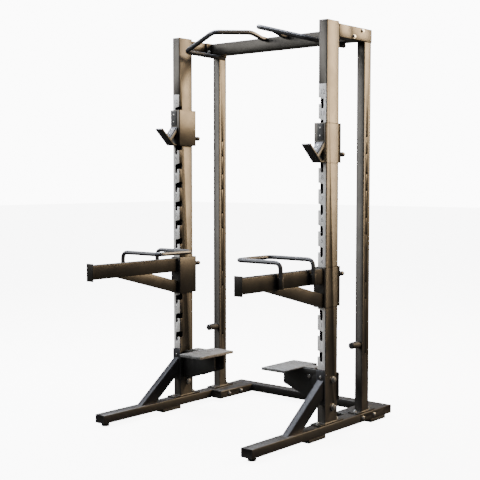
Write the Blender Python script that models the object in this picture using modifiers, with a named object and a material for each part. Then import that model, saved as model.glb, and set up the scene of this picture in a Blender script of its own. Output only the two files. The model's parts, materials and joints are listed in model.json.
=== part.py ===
"""Half rack: two slotted front posts and two rear posts on a bolted base, with a
pull-up beam, two bar hooks, two spotter arms with dip handles, and two folding steps.

Metres, +Z up. X runs across the rack and the front of the rack faces -Y. The origin is
on the floor under the middle of the whole rack, its arms included.
"""

import math

import bmesh
import bpy
from mathutils import Matrix, Vector

GAP = 0.0003            # between pieces that touch
CUT_PAST = 0.003        # how far a cutter runs past the faces it cuts
BEYOND = 1.0            # reach of a block that trims everything on one side
WELD = 0.00001          # merge distance for a curve's caps
BORE_SIDES = 12

# Overall sizes. Heights are above the rails' top, depths are behind the front posts' faces.
RACK_SPAN = 1.092       # between the posts' centre lines
POST_TOP = 2.200
SPOTTER_REACH = 0.705   # ahead of the front posts' faces
RAIL_FRONT = 0.638      # ahead of the front posts' faces
RAIL_JOINT = 0.333
RAIL_REAR = 0.667
RAIL_WIDTH = 0.076
RAIL_HEIGHT = 0.050
RAIL_WALL = 0.003
FOOT_HEIGHT = 0.020
TUBE_ROUND = 0.0052     # outer corner radius of every rectangular tube, over its wall

# Posts
POST_WIDTH = 0.057
POST_DEPTH = 0.115
POST_WALL = 0.004
REAR_POST_WIDTH = 0.052
REAR_POST_DEPTH = 0.070
REAR_POST_FACE = 0.3675
CLOSER = 0.003          # plates that close the ends of tubes
RECESS = 0.0005         # of such a plate, inside the tube's end
WELD_LAP = 0.0010       # how far welded pieces run into each other
WELD_STEP = 0.0004      # between faces of welded pieces that would lie in one plane
FOOT_PLATE_THICK = 0.008
FOOT_PLATE_WIDTH = 0.068
FOOT_PLATE_OVERHANG = 0.054

# Slots of the front posts, and the strips that number them
SLOT_COUNT = 13
SLOT_PITCH = 0.1148
SLOT_FIRST_TOP = 1.777
SLOT_LENGTH = 0.053
SLOT_WIDTH = 0.016
ENTRY_DEPTH = 0.021     # how far a slot's side entry is cut into the inner side face
ENTRY_RISE = 0.014      # the entry's roof, at the inner edge, above the slot's top
ENTRY_DROP = 0.027      # the entry's sill, below the slot's top
STRIP_THICK = 0.0012
STRIP_WIDTH = 0.050
STRIP_BOTTOM = 0.303
STRIP_TOP = 1.857

# Adjustment holes through the rear posts
HOLE_PAIR_HEIGHTS = (1.540, 1.330, 1.081, 0.711)
HOLE_PAIR_SPACING = 0.095
LOWEST_HOLE = 0.3475
REAR_HOLE_RADIUS = 0.006
REAR_HOLE_SETBACK = 0.030

# Top frame
ARM_HEIGHT = 0.075
ARM_TOP = 2.190
ARM_WALL = 0.003
ARM_JOINT = 0.235
SPLICE_REACH = 0.062    # of the spigot, each way from the arm's joint
BEAM_HEIGHT = 0.075
BEAM_FACE = 0.290
BEAM_DEPTH = 0.072
FLANGE_THICK = 0.008
FLANGE_MARGIN = 0.004
FLANGE_HOLE = 0.018     # radius of the opening into the beam
PULL_UP_RADIUS = 0.014
PULL_UP_BEND = 0.032
PULL_UP_FOOT = 0.451    # across the rack, of the leg that runs under the beam
PULL_UP_LAP = 0.050     # of that leg, under the beam
PULL_UP_ELBOW = (0.454, -0.009, 2.108)
PULL_UP_GRIP_END = (0.162, -0.087, 2.189)
PULL_UP_CREST = (0.081, 0.157, 2.206)
PULL_UP_HEEL = 0.028    # straight before the beam's face
PULL_UP_DROP = 0.010    # of the inner end's centre line, below the beam's top

# Base
SPLICE_FRONT = 0.282
SPLICE_BOLTS = (0.361, 0.476)
SPLICE_BOLT_HEIGHT = -0.024
SPLICE_BOLT_RADIUS = 0.0055
VENT_RADIUS = 0.006     # of the drain under the rear cross-member
CROSS_FRONT = 0.591
PUCK_RADIUS = 0.0225
PUCK_SETBACK = 0.043    # of a puck's centre, behind the rail's front end
PAD_WIDTH = 0.072
PAD_LENGTH = 0.156
FRONT_PAD_START = -0.160
REAR_PAD_START = 0.450
BRACE_WIDTH = 0.040
BRACE_DEPTH = 0.075
BRACE_REACH = 0.326     # of the brace's upper edge along the rail
BRACE_RISE = 0.250      # of the brace's upper edge up the post
BRACE_PLATE_THICK = 0.006
BRACE_PLATE_WIDTH = 0.058
BRACE_PLATE_TOP = 0.300
BRACE_PLATE_BOTTOM = 0.110
PEG_RADIUS = 0.020
PEG_REACH = 0.080
PEG_NOSE = 0.006        # length of the peg's eased end
PEG_EASE = 0.004
PEG_HEIGHT = 0.397

# Carriers: the brackets that wrap a front post and carry a hook or a spotter arm
CARRIER_THICK = 0.007
LINER_THICK = 0.008
CARRIER_FOLD = 0.0033   # bevel of the carrier's folds
LINER_MARGIN = 0.004    # of the liner, inside the carrier's ends
CARRIER_OUTER_LIP = 0.0045
PIN_RADIUS = 0.006
PIN_TRAVEL = 0.012
BOSS_RADIUS = 0.010     # of the boss that guides a pin
BOSS_REACH = 0.014
KNOB_RADIUS = 0.0135
KNOB_START = 0.171      # behind the post's front face
KNOB_LENGTH = 0.034
LUG_RADIUS = SLOT_WIDTH / 2 - GAP
LUG_HEAD_RADIUS = LUG_RADIUS + 0.0033
LUG_HEAD_THICK = 0.005

# Bar hooks
HOOK_HEIGHT = 0.215
HOOK_LUG = 0.069        # above the carrier's bottom
HOOK_PIN = 0.048        # above the carrier's bottom
HOOK_WIDTH = 0.057
HOOK_SLOTS = {"left": 1, "right": 2}
HOOK_PLATE = 0.0096     # the cradle's plate
HOOK_BACK = 0.006
HOOK_TIP = (0.134, 0.093)
HOOK_KNEE = 0.034
HOOK_SEAT_TOP = 0.112
HOOK_SEAT_THICK = 0.016
HOOK_SEAT_SLOPE = 1.12  # fall per metre ahead of the carrier
WEAR_PAD = 0.005
FACE_PAD_HALF = 0.019   # half the face pad's width
PAD_MARGIN = 0.006      # between a pad and the edges of what it covers

# Spotter arms
SPOTTER_HEIGHT = 0.220
SPOTTER_LUG = 0.052     # the lower lug, above the carrier's bottom
SPOTTER_PIN = 0.172     # above the carrier's bottom
SPOTTER_SLOT = 9
SPOTTER_ARM_WIDTH = 0.046
SPOTTER_ARM_HEIGHT = 0.082
SPOTTER_ARM_BOTTOM = 0.132   # above the carrier's bottom
SPOTTER_END_THICK = 0.008
SPOTTER_END_HEIGHT = 0.103
SPOTTER_END_MARGIN = 0.004   # of the end plate, past the arm on each side
STRUT_DEPTH = 0.070
STRUT_START = 0.501     # where the strut's lower edge meets the arm, ahead of the post
DIP_RADIUS = 0.0120
DIP_BEND = 0.038
DIP_FRONT = 0.413
DIP_REAR = 0.131
DIP_GRIP = 0.294        # between the legs and the grip bar, across the rack
DIP_RISE = 0.057        # of the handle's centre line above the arm's top
SOCKET_WALL = 0.004
SOCKET_HEIGHT = 0.060
SOCKET_FLOOR = 0.004

# Folding steps
STEP_TOP = 0.298
STEP_INNER = 0.315      # of the tread, inside the post's centre line
STEP_OUTER = 0.148
STEP_FRONT = 0.131
STEP_REAR = 0.167
TREAD_THICK = 0.006
TREAD_LIP = 0.016
LIP_THICK = 0.004
BRACKET_THICK = 0.006
BRACKET_FRONT = 0.030   # of the bracket's front wall, behind the post's front face
BRACKET_BOTTOM = 0.122
BRACKET_TAIL_TOP = 0.276
BRACKET_TAIL = 0.0085   # of the tail behind the post, past its outer face
BRACKET_NOSE = 0.031    # between the tread's inner edge and the bracket's end
TREAD_BEARING = 0.150   # from the pivot to where the ears meet the tread
PIVOT_INSET = 0.0725    # inside the post's inner face
PIVOT_HEIGHT = 0.250
PIVOT_RADIUS = 0.006
EAR_THICK = 0.006
EAR_MARGIN = 0.0035     # between an ear and the bracket's wall
EAR_RADIUS = 0.020
LOCK_INSET = 0.0295     # inside the post's inner face
NECK_REACH = 0.027      # of the tread's neck, past the pivot; it swings clear of the upper bolt
LOCK_HEIGHT = 0.140
STEP_KNOB_RADIUS = 0.018

# Through bolts of the front posts
BOLT_RADIUS = 0.008
BOLT_HEX_RADIUS = 0.014
BOLT_HEAD_THICK = 0.011
BOLT_WASHER_RADIUS = 0.019
BOLT_WASHER_THICK = 0.003
BOLT_SETBACK = 0.0725
UPPER_BOLT = 0.242      # this one also holds the step bracket
LOWER_BOLT = 0.088

# Worked out from the sizes above
HALF_SPAN = RACK_SPAN / 2
FRONT_Y = (SPOTTER_REACH - RAIL_REAR) / 2
RAIL_TOP = FOOT_HEIGHT + RAIL_HEIGHT
RAIL_INNER = HALF_SPAN - RAIL_WIDTH / 2
RAIL_OUTER = HALF_SPAN + RAIL_WIDTH / 2
POST_INNER = HALF_SPAN - POST_WIDTH / 2
POST_OUTER = HALF_SPAN + POST_WIDTH / 2
CARRIER_FRONT = -(STRIP_THICK + 2 * GAP) - LINER_THICK - GAP - CARRIER_THICK
CARRIER_REAR = POST_DEPTH + 2 * GAP + LINER_THICK + CARRIER_THICK
SPOTTER_BOTTOM = (SLOT_FIRST_TOP - SPOTTER_SLOT * SLOT_PITCH - SLOT_LENGTH
                  + SLOT_WIDTH / 2 - SPOTTER_LUG)

SIDES = {"left": -1, "right": 1}

for old in list(bpy.data.objects):
    bpy.data.objects.remove(old, do_unlink=True)

PARTS = bpy.data.collections.new("power_cage")
CUTTERS = bpy.data.collections.new("cutters")
for collection in (PARTS, CUTTERS):
    bpy.context.scene.collection.children.link(collection)

drillings = {}


def finish(name, colour, metallic, roughness):
    """A Principled material."""
    material = bpy.data.materials.new(name)
    material.use_nodes = True
    shader = material.node_tree.nodes["Principled BSDF"]
    shader.inputs["Base Color"].default_value = (*colour, 1.0)
    shader.inputs["Metallic"].default_value = metallic
    shader.inputs["Roughness"].default_value = roughness
    return material


PAINT = finish("bronze_paint", (0.115, 0.105, 0.095), 0.6, 0.40)
ZINC = finish("zinc_steel", (0.620, 0.620, 0.600), 1.0, 0.35)
RUBBER = finish("black_rubber", (0.015, 0.015, 0.015), 0.0, 0.80)
PLASTIC = finish("black_plastic", (0.025, 0.025, 0.027), 0.0, 0.50)
LABEL = finish("number_strip", (0.620, 0.620, 0.600), 0.0, 0.60)
TREAD = finish("tread_coat", (0.350, 0.350, 0.340), 0.1, 0.85)


# Places and outlines

def at(x, y, z):
    """A point given across the rack, behind the posts' front faces, above the rails."""
    return Vector((x, FRONT_Y + y, RAIL_TOP + z))


def rounded(points, radius, steps=3):
    """A closed outline or open path with its corners rounded by short curves."""
    return _soften([Vector(p) for p in points], radius, steps, closed=True)


def rounded_path(points, radius, steps=6):
    return _soften([Vector(p) for p in points], radius, steps, closed=False)


def _soften(points, radius, steps, closed):
    result = []
    last = len(points) - 1
    for index, corner in enumerate(points):
        if not closed and index in (0, last):
            result.append(corner)
            continue
        before = points[index - 1]
        after = points[(index + 1) % len(points)]
        reach = min(radius, (before - corner).length / 2.2, (after - corner).length / 2.2)
        start = corner + (before - corner).normalized() * reach
        end = corner + (after - corner).normalized() * reach
        for step in range(steps + 1):
            t = step / steps
            result.append(start * (1 - t) ** 2 + corner * 2 * t * (1 - t) + end * t ** 2)
    return result


def rectangle(low_a, low_b, high_a, high_b):
    return [(low_a, low_b), (high_a, low_b), (high_a, high_b), (low_a, high_b)]


def ring(centre_a, centre_b, radius, segments=16):
    return [(centre_a + radius * math.cos(2 * math.pi * k / segments),
             centre_b + radius * math.sin(2 * math.pi * k / segments))
            for k in range(segments)]


# Solids

def add(name, mesh, material, collection=PARTS, smooth=False):
    mesh.materials.clear()
    mesh.materials.append(material)
    if smooth:
        mesh.shade_smooth()
        mesh.set_sharp_from_angle(angle=math.radians(35))
    piece = bpy.data.objects.new(name, mesh)
    collection.objects.link(piece)
    return piece


def from_bmesh(name, bm, material, collection=PARTS, smooth=False):
    bmesh.ops.recalc_face_normals(bm, faces=bm.faces)
    mesh = bpy.data.meshes.new(name)
    bm.to_mesh(mesh)
    bm.free()
    return add(name, mesh, material, collection, smooth)


def from_curve(name, curve, placement, material, collection=PARTS, smooth=False):
    """The closed mesh of a filled or bevelled curve."""
    guide = bpy.data.objects.new(name + "_guide", curve)
    bpy.context.scene.collection.objects.link(guide)
    guide.matrix_world = placement
    bpy.context.view_layer.update()
    depsgraph = bpy.context.evaluated_depsgraph_get()
    mesh = bpy.data.meshes.new_from_object(guide.evaluated_get(depsgraph))
    bm = bmesh.new()
    bm.from_mesh(mesh)
    bmesh.ops.remove_doubles(bm, verts=bm.verts, dist=WELD)
    bmesh.ops.recalc_face_normals(bm, faces=bm.faces)
    bm.to_mesh(mesh)
    bm.free()
    mesh.name = name
    piece = add(name, mesh, material, collection, smooth)
    piece.matrix_world = placement
    bpy.data.objects.remove(guide, do_unlink=True)
    bpy.data.curves.remove(curve)
    return piece


PLANES = {
    "XY": Matrix(((1, 0, 0), (0, 1, 0), (0, 0, 1))),
    "YZ": Matrix(((0, 0, 1), (1, 0, 0), (0, 1, 0))),
    "XZ": Matrix(((1, 0, 0), (0, 0, -1), (0, 1, 0))),
}


def plate(name, outlines, plane, low, high, material, collection=PARTS):
    """Flat outlines, the outer one first and then its holes, given thickness.

    Outlines are in the rack's own measures: across, behind the posts' faces, above the
    rails. Low and high are where the solid starts and ends along the plane's normal.
    """
    curve = bpy.data.curves.new(name + "_outline", "CURVE")
    curve.dimensions = "2D"
    curve.fill_mode = "BOTH"
    curve.extrude = (high - low) / 2
    for points in outlines:
        spline = curve.splines.new("POLY")
        spline.points.add(len(points) - 1)
        for point, (a, b) in zip(spline.points, points):
            point.co = (a, b, 0, 1)
        spline.use_cyclic_u = True
    turn = PLANES[plane]
    normal = turn.col[2]
    middle = (low + high) / 2 * sum(normal)
    placement = Matrix.Translation(at(*(normal * middle))) @ turn.to_4x4()
    return from_curve(name, curve, placement, material, collection)


def tube(name, plane, corners, wall, low, high, material):
    """A rectangular tube with rounded outer corners, open at both ends."""
    low_a, low_b, high_a, high_b = corners
    outer = rounded(rectangle(low_a, low_b, high_a, high_b), TUBE_ROUND, 2)
    inner = rectangle(low_a + wall, low_b + wall, high_a - wall, high_b - wall)
    return plate(name, [outer, inner], plane, low, high, material)


def add_box(bm, low, high):
    low, high = at(*low), at(*high)
    size = [abs(b - a) for a, b in zip(low, high)]
    placement = Matrix.Translation((low + high) / 2) @ Matrix.Diagonal((*size, 1))
    bmesh.ops.create_cube(bm, size=1, matrix=placement)


def boxes(name, pairs, material, collection=PARTS, bevel=0.0):
    bm = bmesh.new()
    for low, high in pairs:
        add_box(bm, low, high)
    if bevel:
        bmesh.ops.bevel(bm, geom=bm.edges, offset=bevel, segments=1, affect="EDGES")
    return from_bmesh(name, bm, material, collection)


def add_rod(bm, start, end, radius, segments=16, end_radius=None):
    """A cylinder, or a cone, between two points of the rack."""
    start, end = at(*start), at(*end)
    span = end - start
    turn = span.to_track_quat("Z", "Y").to_matrix().to_4x4()
    placement = Matrix.Translation((start + end) / 2) @ turn
    bmesh.ops.create_cone(bm, cap_ends=True, segments=segments, radius1=radius,
                          radius2=radius if end_radius is None else end_radius,
                          depth=span.length, matrix=placement)


def rods(name, runs, material, collection=PARTS, segments=16):
    bm = bmesh.new()
    for start, end, radius in runs:
        add_rod(bm, start, end, radius, segments)
    return from_bmesh(name, bm, material, collection, smooth=True)


def bent_bar(name, points, radius, bend, material, steps=5):
    """A round bar along a path with rounded corners."""
    curve = bpy.data.curves.new(name + "_path", "CURVE")
    curve.dimensions = "3D"
    curve.bevel_depth = radius
    curve.bevel_resolution = 2
    curve.use_fill_caps = True
    route = rounded_path([at(*p) for p in points], bend, steps)
    spline = curve.splines.new("POLY")
    spline.points.add(len(route) - 1)
    for point, place in zip(spline.points, route):
        point.co = (*place, 1)
    return from_curve(name, curve, Matrix.Identity(4), material, smooth=True)


def turned(name, profile, base, direction, material, steps=20):
    """A turned piece. The profile lists (radius, distance) along the direction."""
    mesh = bpy.data.meshes.new(name)
    mesh.from_pydata([(r, 0, d) for r, d in reversed(profile)],
                     [(k, k + 1) for k in range(len(profile) - 1)], [])
    piece = add(name, mesh, material)
    turn = Vector(direction).to_track_quat("Z", "Y").to_matrix().to_4x4()
    piece.matrix_world = Matrix.Translation(at(*base)) @ turn
    screw = piece.modifiers.new("turn", "SCREW")
    screw.axis = "Z"
    screw.steps = steps
    screw.render_steps = steps
    screw.use_merge_vertices = True
    screw.merge_threshold = WELD
    screw.use_smooth_shade = True
    return piece


def merge(name, pieces, material, collection=PARTS, smooth=False):
    """Several separate solids as one object."""
    bpy.context.view_layer.update()
    depsgraph = bpy.context.evaluated_depsgraph_get()
    bm = bmesh.new()
    for piece in pieces:
        mesh = bpy.data.meshes.new_from_object(piece.evaluated_get(depsgraph))
        mesh.transform(piece.matrix_world)
        bm.from_mesh(mesh)
    for piece in pieces:
        bpy.data.objects.remove(piece, do_unlink=True)
    return from_bmesh(name, bm, material, collection, smooth)


def end_plate(name, plane, corners, wall, end, inward):
    """A plate welded just inside a rectangular tube's end."""
    inset = wall - WELD_LAP
    low_a, low_b, high_a, high_b = corners
    outline = rectangle(low_a + inset, low_b + inset, high_a - inset, high_b - inset)
    low, high = sorted((end + inward * RECESS, end + inward * (RECESS + CLOSER)))
    return plate(name, [outline], plane, low, high, PAINT)


def boolean(piece, other, operation="DIFFERENCE"):
    """Cut or join with a helper piece, which is then left out of the rack."""
    if other.name in PARTS.objects:
        PARTS.objects.unlink(other)
        CUTTERS.objects.link(other)
    other.hide_render = True
    other.display_type = "WIRE"
    modifier = piece.modifiers.new(operation.lower(), "BOOLEAN")
    modifier.operation = operation
    modifier.solver = "EXACT"
    modifier.object = other


def weld(piece, other):
    """Join a helper piece that overlaps this one, as a weld does."""
    boolean(piece, other, "UNION")


def drill(names, start, end, radius):
    """Note a round hole through the named pieces, cut at the end. Its flats clear radius."""
    for name in names:
        clear = radius / math.cos(math.pi / BORE_SIDES)
        drillings.setdefault(name, []).append((start, end, clear))


def cut_drillings():
    for name, runs in drillings.items():
        cutter = rods(name + "_drill", runs, ZINC, CUTTERS, segments=BORE_SIDES)
        boolean(bpy.data.objects[name], cutter)


def joint_empty(name, place, pieces):
    """An empty on a joint's axis, holding the pieces that move with it."""
    empty = bpy.data.objects.new(name, None)
    PARTS.objects.link(empty)
    empty.matrix_world = Matrix.Translation(at(*place))
    bpy.context.view_layer.update()
    for piece in pieces:
        piece.parent = empty
        piece.matrix_parent_inverse = empty.matrix_world.inverted()
    return empty


# Base

def base_rails():
    """The front parts of the two side rails, each closed by a plate at its front end."""
    for side, sign in SIDES.items():
        low, high = sorted((sign * RAIL_INNER, sign * RAIL_OUTER))
        section = (low, -RAIL_HEIGHT, high, 0)
        rail = tube(f"base_rail_{side}", "XZ", section, RAIL_WALL, -RAIL_FRONT, RAIL_JOINT, PAINT)
        weld(rail, end_plate(f"rail_end_{side}", "XZ", section, RAIL_WALL, -RAIL_FRONT, 1))


def rear_base():
    """The welded rear of the base: a cross-member, two rail ends and two splice legs."""
    bottom = -RAIL_HEIGHT
    cross = (CROSS_FRONT, bottom + WELD_STEP, RAIL_REAR, -WELD_STEP)
    base = tube("rear_base", "YZ", cross, RAIL_WALL, -RAIL_OUTER, RAIL_OUTER, PAINT)
    into = CROSS_FRONT + RAIL_WALL / 2
    for side, sign in SIDES.items():
        low, high = sorted((sign * RAIL_INNER, sign * RAIL_OUTER))
        weld(base, tube(f"rear_rail_{side}", "XZ", (low, bottom, high, 0), RAIL_WALL,
                        RAIL_JOINT + GAP, into, PAINT))
        near = RAIL_INNER - GAP
        low, high = sorted((sign * near, sign * (near - RAIL_WIDTH)))
        section = (low, bottom, high, 0)
        weld(base, tube(f"splice_leg_{side}", "XZ", section, RAIL_WALL, SPLICE_FRONT, into, PAINT))
        weld(base, end_plate(f"splice_end_{side}", "XZ", section, RAIL_WALL, SPLICE_FRONT, 1))
        weld(base, end_plate(f"cross_end_{side}", "YZ", cross, RAIL_WALL, sign * RAIL_OUTER, -sign))
        rib_low, rib_high = sorted((sign * (near - WELD_LAP), sign * (RAIL_INNER + WELD_LAP)))
        weld(base, boxes(f"splice_rib_{side}",
                         [((rib_low, RAIL_JOINT + 0.02, bottom + TUBE_ROUND),
                           (rib_high, into, -TUBE_ROUND))], PAINT))
        for y in SPLICE_BOLTS:
            drill(["rear_base"], (sign * (RAIL_OUTER + CUT_PAST), y, SPLICE_BOLT_HEIGHT),
                  (sign * (near - RAIL_WIDTH - CUT_PAST), y, SPLICE_BOLT_HEIGHT), SPLICE_BOLT_RADIUS)
    middle = (CROSS_FRONT + RAIL_REAR) / 2
    drill(["rear_base"], (0, middle, bottom - CUT_PAST), (0, middle, bottom + 2 * RAIL_WALL),
          VENT_RADIUS)


def feet():
    """Round pucks under the rails' front ends and pads under the four posts."""
    bottom = -RAIL_HEIGHT - GAP
    floor = -RAIL_HEIGHT - FOOT_HEIGHT
    puck_y = -RAIL_FRONT + PUCK_SETBACK
    for side, sign in SIDES.items():
        x = sign * HALF_SPAN
        rods(f"front_foot_{side}", [((x, puck_y, floor), (x, puck_y, bottom), PUCK_RADIUS)],
             RUBBER, segments=24)
        for row, start in (("middle", FRONT_PAD_START), ("rear", REAR_PAD_START)):
            boxes(f"{row}_foot_{side}", [((x - PAD_WIDTH / 2, start, floor),
                                          (x + PAD_WIDTH / 2, start + PAD_LENGTH, bottom))],
                  RUBBER, bevel=0.001)


def foot_plate(side, sign, face, depth):
    """The plate a post is welded to, reaching past the post in front and behind."""
    x = sign * HALF_SPAN
    return boxes(f"foot_plate_{side}",
                 [((x - FOOT_PLATE_WIDTH / 2, face - FOOT_PLATE_OVERHANG, GAP),
                   (x + FOOT_PLATE_WIDTH / 2, face + depth + FOOT_PLATE_OVERHANG,
                    FOOT_PLATE_THICK))], PAINT)


def braces():
    """Sloping tubes from the rails to plates on the posts' front faces."""
    slope = math.atan2(BRACE_RISE, BRACE_REACH)
    along = Vector((0, math.cos(slope), math.sin(slope)))
    across = Vector((0, math.sin(slope), -math.cos(slope)))
    middle = Vector((0, -BRACE_REACH / 2, BRACE_RISE / 2)) + across * (BRACE_DEPTH / 2)
    half = math.hypot(BRACE_REACH, BRACE_RISE) / 2 + BRACE_DEPTH

    def outline(reach, depth):
        corners = ((-half - reach, depth), (half + reach, depth),
                   (half + reach, -depth), (-half - reach, -depth))
        places = [middle + along * a + across * b for a, b in corners]
        return [(p.y, p.z) for p in places]

    for side, sign in SIDES.items():
        x = sign * HALF_SPAN
        wide = BRACE_WIDTH / 2
        brace = plate(f"brace_{side}", [outline(0, BRACE_DEPTH / 2)], "YZ", x - wide, x + wide, PAINT)
        core = plate(f"brace_{side}_core", [outline(CUT_PAST, BRACE_DEPTH / 2 - RAIL_WALL)],
                     "YZ", x - wide + RAIL_WALL, x + wide - RAIL_WALL, PAINT)
        boolean(brace, core)
        boolean(brace, boxes(f"brace_{side}_trim", [((x - BEYOND, -BEYOND, -BEYOND), (x + BEYOND, BEYOND, GAP))],
                             PAINT))
        boolean(brace, boxes(f"brace_{side}_back",
                             [((x - BEYOND, -BRACE_PLATE_THICK / 2, -BEYOND), (x + BEYOND, BEYOND, BEYOND))],
                             PAINT))
        half_plate = BRACE_PLATE_WIDTH / 2
        weld(brace, boxes(f"brace_plate_{side}",
                          [((x - half_plate, -BRACE_PLATE_THICK - GAP, BRACE_PLATE_BOTTOM),
                            (x + half_plate, -GAP, BRACE_PLATE_TOP))], PAINT))


# Posts

def slot_outline(sign, top):
    """One slot seen from the front: a side entry that drops into a round-ended slot."""
    half = SLOT_WIDTH / 2
    edge = POST_WIDTH / 2 + CUT_PAST
    bottom = top - SLOT_LENGTH + half
    slope = ENTRY_RISE / POST_WIDTH
    arc = [(half * math.cos(a), bottom + half * math.sin(a))
           for a in [math.radians(-180 + 180 * k / 6) for k in range(7)]]
    points = [(-half, top)] + arc + [(half, top - ENTRY_DROP), (edge, top - ENTRY_DROP),
                                     (edge, top + slope * (edge + half))]
    return [(sign * (HALF_SPAN - u), v) for u, v in points]


def slot_tops():
    return [SLOT_FIRST_TOP - k * SLOT_PITCH for k in range(SLOT_COUNT)]


def front_posts():
    bottom = FOOT_PLATE_THICK - WELD_LAP
    for side, sign in SIDES.items():
        low, high = sorted((sign * POST_INNER, sign * POST_OUTER))
        section = (low, 0, high, POST_DEPTH)
        post = tube(f"front_post_{side}", "XY", section, POST_WALL, bottom, POST_TOP, PAINT)
        weld(post, foot_plate(f"front_{side}", sign, 0, POST_DEPTH))
        weld(post, end_plate(f"post_cap_{side}", "XY", section, POST_WALL, POST_TOP, -1))
        cuts = [plate(f"slot_{side}_{k}", [slot_outline(sign, height)], "XZ",
                      -STRIP_THICK - CUT_PAST, ENTRY_DEPTH, ZINC, CUTTERS)
                for k, height in enumerate(slot_tops())]
        slots = merge(f"slots_{side}", cuts, ZINC, CUTTERS)
        boolean(post, slots)
        x = sign * HALF_SPAN
        strip = boxes(f"number_strip_{side}",
                      [((x - STRIP_WIDTH / 2, -STRIP_THICK - GAP, STRIP_BOTTOM),
                        (x + STRIP_WIDTH / 2, -GAP, STRIP_TOP))], LABEL)
        boolean(strip, slots)


def rear_posts():
    bottom = FOOT_PLATE_THICK - WELD_LAP
    top = ARM_TOP - ARM_HEIGHT - GAP
    half = REAR_POST_WIDTH / 2
    holes = [height + shift for height in HOLE_PAIR_HEIGHTS
             for shift in (-HOLE_PAIR_SPACING / 2, HOLE_PAIR_SPACING / 2)] + [LOWEST_HOLE]
    for side, sign in SIDES.items():
        x = sign * HALF_SPAN
        post = tube(f"rear_post_{side}", "XY",
                    (x - half, REAR_POST_FACE, x + half, REAR_POST_FACE + REAR_POST_DEPTH),
                    ARM_WALL, bottom, top, PAINT)
        weld(post, foot_plate(f"rear_{side}", sign, REAR_POST_FACE, REAR_POST_DEPTH))
        y = REAR_POST_FACE + REAR_HOLE_SETBACK
        for height in holes:
            drill([f"rear_post_{side}"], (x - half - CUT_PAST, y, height),
                  (x + half + CUT_PAST, y, height), REAR_HOLE_RADIUS)


def band_pegs():
    """Stub pegs on the rear posts' front faces, with a rounded lip at the free end."""
    base = REAR_POST_FACE - GAP
    profile = [(0, 0), (PEG_RADIUS, 0), (PEG_RADIUS, PEG_REACH - PEG_NOSE),
               (PEG_RADIUS - PEG_EASE, PEG_REACH), (0, PEG_REACH)]
    for side, sign in SIDES.items():
        turned(f"band_peg_{side}", profile, (sign * HALF_SPAN, base, PEG_HEIGHT),
               (0, -1, 0), RUBBER)


# Top frame

def top_arms():
    """Arms welded to the front posts, each with a spigot that enters a rear stub."""
    low_z, high_z = ARM_TOP - ARM_HEIGHT, ARM_TOP
    end = REAR_POST_FACE + REAR_POST_DEPTH
    for side, sign in SIDES.items():
        low, high = sorted((sign * POST_INNER, sign * POST_OUTER))
        section = (low, low_z, high, high_z)
        arm = tube(f"top_arm_{side}", "XZ", section, ARM_WALL, POST_DEPTH + GAP, ARM_JOINT, PAINT)
        stub = tube(f"rear_stub_{side}", "XZ", section, ARM_WALL, ARM_JOINT + GAP, end, PAINT)
        weld(stub, end_plate(f"stub_end_{side}", "XZ", section, ARM_WALL, end, -1))
        for name, inset, start, stop in (
                ("plug", ARM_WALL - WELD_LAP, ARM_JOINT - SPLICE_REACH, ARM_JOINT - WELD_LAP),
                ("spigot", ARM_WALL + GAP, ARM_JOINT - SPLICE_REACH / 2, ARM_JOINT + SPLICE_REACH)):
            section = (low + inset, low_z + inset, high - inset, high_z - inset)
            wall = 2 * ARM_WALL + GAP - inset
            weld(arm, tube(f"{name}_{side}", "XZ", section, wall, start, stop, PAINT))


def crossbeam():
    """The beam between the stubs, with a bolted flange at each end."""
    low_z = ARM_TOP - ARM_HEIGHT
    reach = POST_INNER - GAP - FLANGE_THICK / 2
    beam = tube("crossbeam", "YZ",
                (BEAM_FACE, ARM_TOP - BEAM_HEIGHT, BEAM_FACE + BEAM_DEPTH, ARM_TOP),
                ARM_WALL, -reach, reach, PAINT)
    middle = (BEAM_FACE + BEAM_DEPTH / 2, ARM_TOP - BEAM_HEIGHT / 2)
    for side, sign in SIDES.items():
        near, far = sorted((sign * (POST_INNER - GAP - FLANGE_THICK), sign * (POST_INNER - GAP)))
        outline = rectangle(ARM_JOINT + FLANGE_MARGIN, low_z + WELD_STEP,
                            REAR_POST_FACE - FLANGE_MARGIN, ARM_TOP - WELD_STEP)
        weld(beam, plate(f"beam_flange_{side}", [outline, ring(*middle, FLANGE_HOLE, 12)], "YZ",
                         near, far, PAINT))


def pull_up_handles():
    """Bent bars: a leg under the beam, a sloping grip, and a return to the beam's face."""
    face = BEAM_FACE - GAP
    under = ARM_TOP - BEAM_HEIGHT - GAP - PULL_UP_RADIUS
    heel = ARM_TOP - PULL_UP_DROP
    inner = PULL_UP_CREST[0]
    for side, sign in SIDES.items():
        points = [(PULL_UP_FOOT, BEAM_FACE + PULL_UP_LAP, under),
                  (PULL_UP_FOOT, BEAM_FACE - PULL_UP_HEEL, under),
                  PULL_UP_ELBOW, PULL_UP_GRIP_END, PULL_UP_CREST,
                  (inner, face - PULL_UP_HEEL, heel), (inner, face, heel)]
        bent_bar(f"pull_up_handle_{side}", [(sign * x, y, z) for x, y, z in points],
                 PULL_UP_RADIUS, PULL_UP_BEND, PAINT)


# Carriers

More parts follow.
